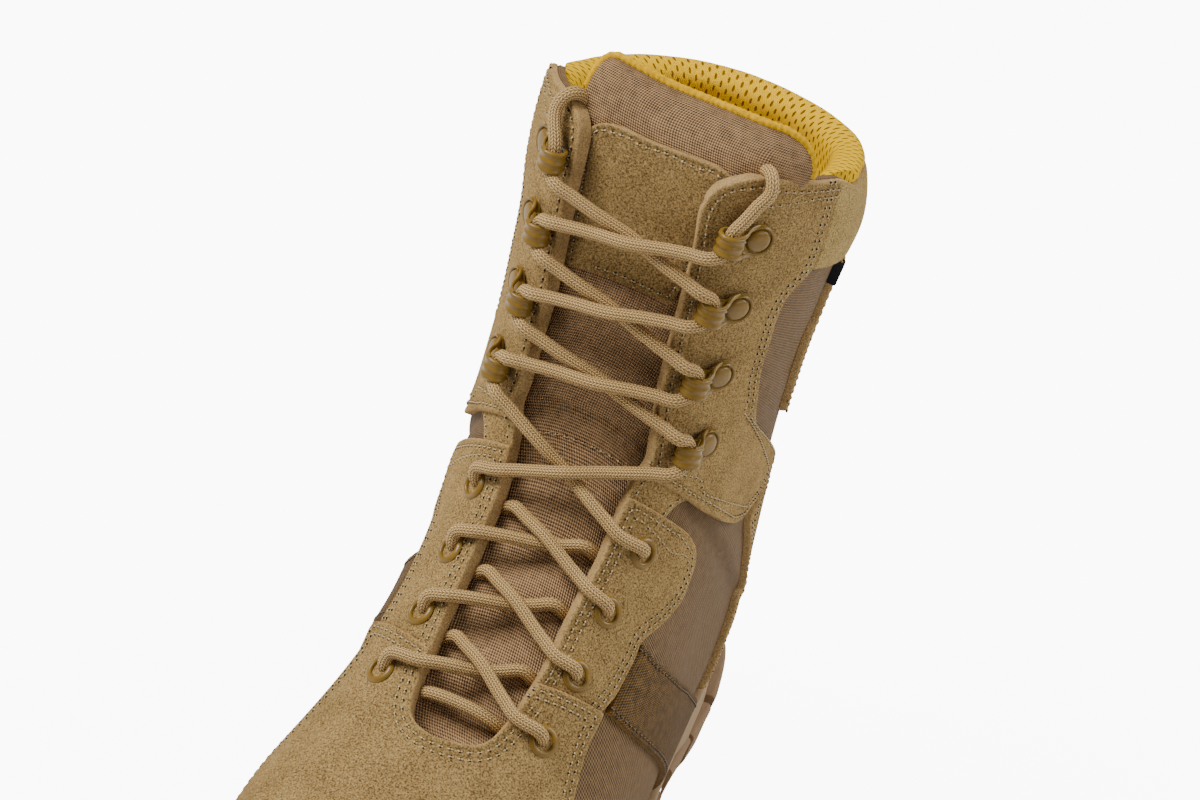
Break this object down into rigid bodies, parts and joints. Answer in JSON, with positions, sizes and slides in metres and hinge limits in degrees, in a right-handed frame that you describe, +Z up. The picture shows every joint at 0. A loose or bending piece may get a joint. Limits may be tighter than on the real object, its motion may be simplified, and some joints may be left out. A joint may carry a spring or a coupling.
{
  "type": "tactical boot",
  "caption": "Left lace-up tactical boot with hollow nylon upper, suede overlays, padded tongue and collar, eyelets, lace hooks and a lugged sole.",
  "frame": {"origin": "centre of the footprint box on the floor under the sole", "axes": "+Z up, toe toward -Y, outer (lateral) side toward +X"},
  "size_m": [0.1124, 0.304, 0.2853],
  "materials": {
    "suede": "rough brushed suede",
    "nylon": "matte ballistic nylon",
    "tongue_nylon": "matte ballistic nylon over padding",
    "mesh_lining": "knitted spacer mesh",
    "webbing": "coarse woven strap",
    "midsole_foam": "smooth matte moulded foam",
    "outsole_rubber": "matte moulded rubber",
    "insole_foam": "matte felt-topped foam",
    "painted_metal": "gloss baked paint",
    "lace_cord": "round braided cord",
    "tag_cloth": "plain matte woven tape"
  },
  "bodies": {
    "root": {"back_stay": "suede", "collar_cuff": "suede", "collar_pad": "mesh_lining", "eyelet_lateral_1": "painted_metal", "eyelet_lateral_2": "painted_metal", "eyelet_lateral_3": "painted_metal", "eyelet_lateral_4": "painted_metal", "eyelet_medial_1": "painted_metal", "eyelet_medial_2": "painted_metal", "eyelet_medial_3": "painted_metal", "eyelet_medial_4": "painted_metal", "eyestay_lateral": "suede", "eyestay_medial": "suede", "heel_counter": "suede", "hook_facing_lateral": "suede", "hook_facing_medial": "suede", "hook_lateral_1": "painted_metal", "hook_lateral_2": "painted_metal", "hook_lateral_3": "painted_metal", "hook_lateral_4": "painted_metal", "hook_medial_1": "painted_metal", "hook_medial_2": "painted_metal", "hook_medial_3": "painted_metal", "hook_medial_4": "painted_metal", "insole": "insole_foam", "lace_bar": "lace_cord", "lace_crossing_1": "lace_cord", "lace_crossing_2": "lace_cord", "lace_crossing_3": "lace_cord", "lace_crossing_4": "lace_cord", "lace_crossing_5": "lace_cord", "lace_crossing_6": "lace_cord", "lace_crossing_7": "lace_cord", "lace_end_lateral": "lace_cord", "lace_end_medial": "lace_cord", "midsole": "midsole_foam", "outsole": "outsole_rubber", "side_tag": "tag_cloth", "tongue": "tongue_nylon", "tongue_patch": "suede", "upper": "nylon", "vamp": "suede", "webbing_lateral": "webbing", "webbing_medial": "webbing"}
  },
  "joints": []
}
